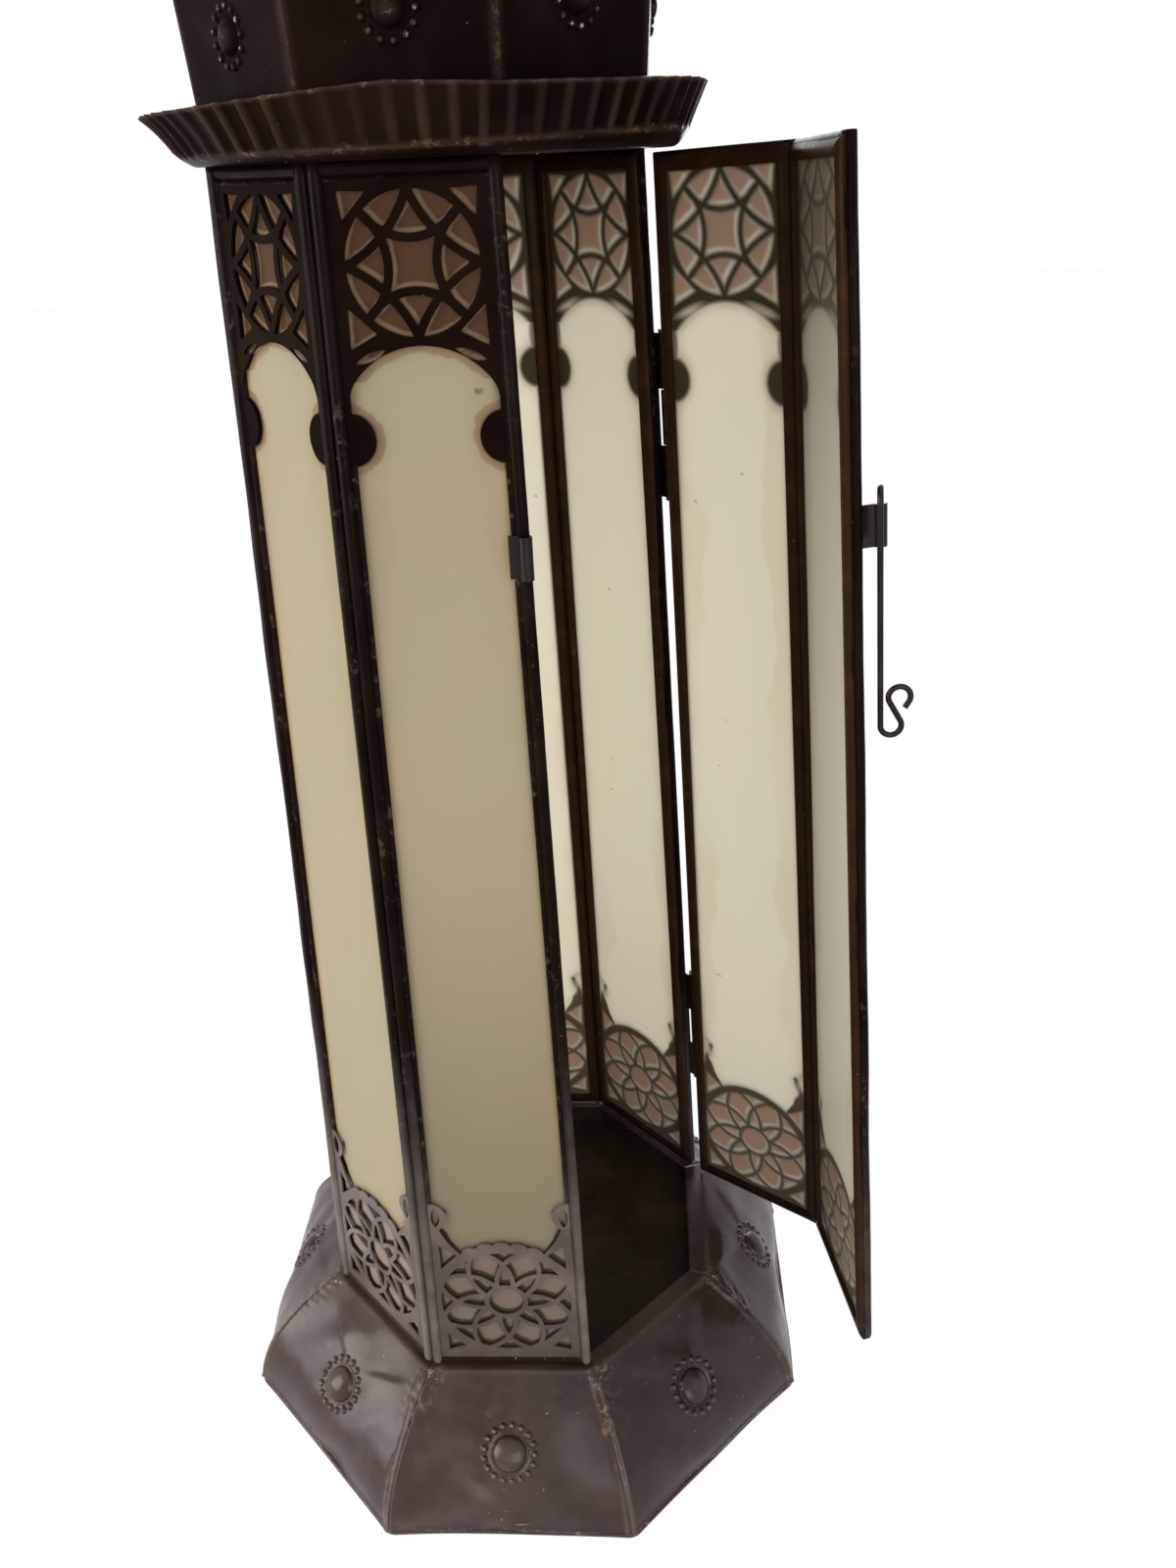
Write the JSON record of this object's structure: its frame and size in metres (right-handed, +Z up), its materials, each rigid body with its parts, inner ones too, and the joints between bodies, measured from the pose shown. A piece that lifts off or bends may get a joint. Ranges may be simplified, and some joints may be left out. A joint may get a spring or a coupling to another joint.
{
  "type": "pillar lantern",
  "caption": "Tall octagonal tin candle lantern with milk glass panes, pierced frets, flared base, fluted tray, crown and a bent door on leaning butt hinges, held by a wire hook.",
  "frame": {"origin": "centre of the base's foot, on the ground", "axes": "+Z up the column, the face left of the door looks along -Y, the shut door covers the two faces from there round to +X"},
  "size_m": [0.3095, 0.278, 0.6488],
  "materials": {
    "dark_tin": "semi-gloss",
    "milk_glass": "polished",
    "aged_steel": "satin"
  },
  "bodies": {
    "lantern": {"front_frame": "dark_tin", "front_pane": "milk_glass", "front_top_fret": "dark_tin", "front_foot_fret": "dark_tin", "front_base_panel": "dark_tin", "front_crown_panel": "dark_tin", "front_right_base_panel": "dark_tin", "front_right_crown_panel": "dark_tin", "right_base_panel": "dark_tin", "right_crown_panel": "dark_tin", "back_right_frame": "dark_tin", "back_right_pane": "milk_glass", "back_right_top_fret": "dark_tin", "back_right_foot_fret": "dark_tin", "back_right_base_panel": "dark_tin", "back_right_crown_panel": "dark_tin", "back_frame": "dark_tin", "back_pane": "milk_glass", "back_top_fret": "dark_tin", "back_foot_fret": "dark_tin", "back_base_panel": "dark_tin", "back_crown_panel": "dark_tin", "back_left_frame": "dark_tin", "back_left_pane": "milk_glass", "back_left_top_fret": "dark_tin", "back_left_foot_fret": "dark_tin", "back_left_base_panel": "dark_tin", "back_left_crown_panel": "dark_tin", "left_frame": "dark_tin", "left_pane": "milk_glass", "left_top_fret": "dark_tin", "left_foot_fret": "dark_tin", "left_base_panel": "dark_tin", "left_crown_panel": "dark_tin", "front_left_frame": "dark_tin", "front_left_pane": "milk_glass", "front_left_top_fret": "dark_tin", "front_left_foot_fret": "dark_tin", "front_left_base_panel": "dark_tin", "front_left_crown_panel": "dark_tin", "base_hem_ring": "dark_tin", "floor_pan": "dark_tin", "tray": "dark_tin", "upper_hinge_fixed_leaf": "aged_steel", "upper_hinge_pin": "aged_steel", "lower_hinge_fixed_leaf": "aged_steel", "lower_hinge_pin": "aged_steel", "latch_keeper": "aged_steel"},
    "door": {"front_right_frame": "dark_tin", "front_right_pane": "milk_glass", "front_right_top_fret": "dark_tin", "front_right_foot_fret": "dark_tin", "right_frame": "dark_tin", "right_pane": "milk_glass", "right_top_fret": "dark_tin", "right_foot_fret": "dark_tin", "upper_hinge_door_leaf": "aged_steel", "lower_hinge_door_leaf": "aged_steel", "latch_barrel": "aged_steel"},
    "hook": {"latch_hook": "aged_steel"}
  },
  "joints": [
    {"name": "door_swing", "type": "hinge", "parent": "lantern", "child": "door", "pos_m": [0.0961, 0.03981, 0.0585], "axis": [-0.0369, -0.0153, 0.9992], "range_deg": [-54.4, 65.6]},
    {"name": "hook_turn", "type": "hinge", "parent": "door", "child": "hook", "pos_m": [0.15155, -0.06786, 0.44522], "axis": [-0.0642, 0.0176, 0.9978], "range_deg": [0, 120]}
  ]
}
